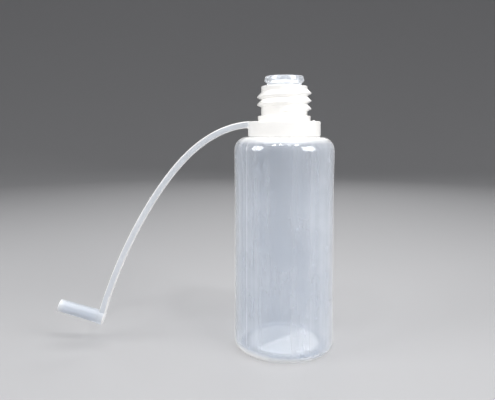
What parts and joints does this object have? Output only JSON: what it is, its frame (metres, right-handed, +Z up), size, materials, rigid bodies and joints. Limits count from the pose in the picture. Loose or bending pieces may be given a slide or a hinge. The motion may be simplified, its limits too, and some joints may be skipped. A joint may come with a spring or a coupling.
{
  "type": "dropper bottle",
  "caption": "Translucent plastic squeeze dropper bottle with a threaded neck, a press-in dropper plug and a small tip cap on a flexible strap that hangs from a collar round the neck.",
  "frame": {"origin": "centre of the standing face, on the bottle's axis", "axes": "+Z up along the bottle's axis, out of the neck; the tether leaves the neck towards -X; the pictured side faces -Y"},
  "size_m": [0.092, 0.033, 0.089],
  "materials": {
    "bottle_plastic": "translucent natural polyethylene, satin",
    "plug_plastic": "translucent polyethylene, satin",
    "tether_plastic": "cloudy white polyethylene, satin"
  },
  "bodies": {
    "bottle": {"bottle": "bottle_plastic"},
    "dropper_plug": {"dropper_plug": "plug_plastic"},
    "tether_ring": {"tether_ring": "tether_plastic"},
    "strap_link_1": {"strap_link_1": "tether_plastic"},
    "strap_link_2": {"strap_link_2": "tether_plastic"},
    "strap_link_3": {"strap_link_3": "tether_plastic"},
    "strap_link_4": {"strap_link_4": "tether_plastic"},
    "strap_link_5": {"strap_link_5": "tether_plastic"},
    "strap_link_6": {"strap_link_6": "tether_plastic"},
    "strap_link_7": {"strap_link_7": "tether_plastic"},
    "strap_link_8": {"strap_link_8": "tether_plastic"},
    "strap_link_9": {"strap_link_9": "tether_plastic"},
    "strap_link_10": {"strap_link_10": "tether_plastic"},
    "strap_link_11": {"strap_link_11": "tether_plastic"},
    "strap_link_12": {"strap_link_12": "tether_plastic"},
    "strap_link_13": {"strap_link_13": "tether_plastic"},
    "strap_link_14": {"strap_link_14": "tether_plastic"},
    "tip_cap": {"tip_cap": "tether_plastic"}
  },
  "joints": [
    {"name": "ring_spin", "type": "hinge", "parent": "bottle", "child": "tether_ring", "pos_m": [0, 0, 0.0719], "axis": [0, 0, 1], "continuous": true},
    {"name": "plug_pull", "type": "slide", "parent": "bottle", "child": "dropper_plug", "axis": [0, 0, 1], "range_m": [0, 0.012]},
    {"name": "strap_flex_1", "type": "hinge", "parent": "tether_ring", "child": "strap_link_1", "pos_m": [-0.01344, 0, 0.07303], "axis": [0, 1, 0], "range_deg": [0, 22.78], "stiffness_Nm_per_rad": 0.05},
    {"name": "strap_flex_2", "type": "hinge", "parent": "strap_link_1", "child": "strap_link_2", "pos_m": [-0.01848, 0, 0.07179], "axis": [0, 1, 0], "range_deg": [0, 21.99]},
    {"name": "strap_flex_3", "type": "hinge", "parent": "strap_link_2", "child": "strap_link_3", "pos_m": [-0.02321, 0, 0.06965], "axis": [0, 1, 0], "range_deg": [0, 21.15]},
    {"name": "strap_flex_4", "type": "hinge", "parent": "strap_link_3", "child": "strap_link_4", "pos_m": [-0.02756, 0, 0.0668], "axis": [0, 1, 0], "range_deg": [0, 20.31]},
    {"name": "strap_flex_5", "type": "hinge", "parent": "strap_link_4", "child": "strap_link_5", "pos_m": [-0.03149, 0, 0.06341], "axis": [0, 1, 0], "range_deg": [0, 19.47]},
    {"name": "strap_flex_6", "type": "hinge", "parent": "strap_link_5", "child": "strap_link_6", "pos_m": [-0.03506, 0, 0.05963], "axis": [0, 1, 0], "range_deg": [0, 18.63]},
    {"name": "strap_flex_7", "type": "hinge", "parent": "strap_link_6", "child": "strap_link_7", "pos_m": [-0.03833, 0, 0.05558], "axis": [0, 1, 0], "range_deg": [0, 17.79]},
    {"name": "strap_flex_8", "type": "hinge", "parent": "strap_link_7", "child": "strap_link_8", "pos_m": [-0.04135, 0, 0.05135], "axis": [0, 1, 0], "range_deg": [0, 16.95]},
    {"name": "strap_flex_9", "type": "hinge", "parent": "strap_link_8", "child": "strap_link_9", "pos_m": [-0.04418, 0, 0.04699], "axis": [0, 1, 0], "range_deg": [0, 16.06], "stiffness_Nm_per_rad": 0.01},
    {"name": "strap_flex_10", "type": "hinge", "parent": "strap_link_9", "child": "strap_link_10", "pos_m": [-0.04683, 0, 0.04251], "axis": [0, 1, 0], "range_deg": [0, 15.27]},
    {"name": "strap_flex_11", "type": "hinge", "parent": "strap_link_10", "child": "strap_link_11", "pos_m": [-0.04932, 0, 0.03795], "axis": [0, 1, 0], "range_deg": [0, 14.43]},
    {"name": "strap_flex_12", "type": "hinge", "parent": "strap_link_11", "child": "strap_link_12", "pos_m": [-0.05165, 0, 0.03331], "axis": [0, 1, 0], "range_deg": [0, 13.59]},
    {"name": "strap_flex_13", "type": "hinge", "parent": "strap_link_12", "child": "strap_link_13", "pos_m": [-0.05384, 0, 0.02858], "axis": [0, 1, 0], "range_deg": [0, 12.75]},
    {"name": "strap_flex_14", "type": "hinge", "parent": "strap_link_13", "child": "strap_link_14", "pos_m": [-0.05587, 0, 0.0238], "axis": [0, 1, 0], "range_deg": [0, 11.91]},
    {"name": "strap_flex_15", "type": "hinge", "parent": "strap_link_14", "child": "tip_cap", "pos_m": [-0.05774, 0, 0.01895], "axis": [0, 1, 0], "range_deg": [0, 11.07]}
  ],
  "couplings": [
    {"joint": "strap_flex_2", "follows": "strap_flex_1", "ratio": 0.9631},
    {"joint": "strap_flex_3", "follows": "strap_flex_1", "ratio": 0.9263},
    {"joint": "strap_flex_4", "follows": "strap_flex_1", "ratio": 0.8894},
    {"joint": "strap_flex_5", "follows": "strap_flex_1", "ratio": 0.8525},
    {"joint": "strap_flex_6", "follows": "strap_flex_1", "ratio": 0.8156},
    {"joint": "strap_flex_7", "follows": "strap_flex_1", "ratio": 0.7788},
    {"joint": "strap_flex_8", "follows": "strap_flex_1", "ratio": 0.7419},
    {"joint": "strap_flex_10", "follows": "strap_flex_9", "ratio": 0.9477},
    {"joint": "strap_flex_11", "follows": "strap_flex_9", "ratio": 0.8954},
    {"joint": "strap_flex_12", "follows": "strap_flex_9", "ratio": 0.8431},
    {"joint": "strap_flex_13", "follows": "strap_flex_9", "ratio": 0.7908},
    {"joint": "strap_flex_14", "follows": "strap_flex_9", "ratio": 0.7385},
    {"joint": "strap_flex_15", "follows": "strap_flex_9", "ratio": 0.6862}
  ]
}
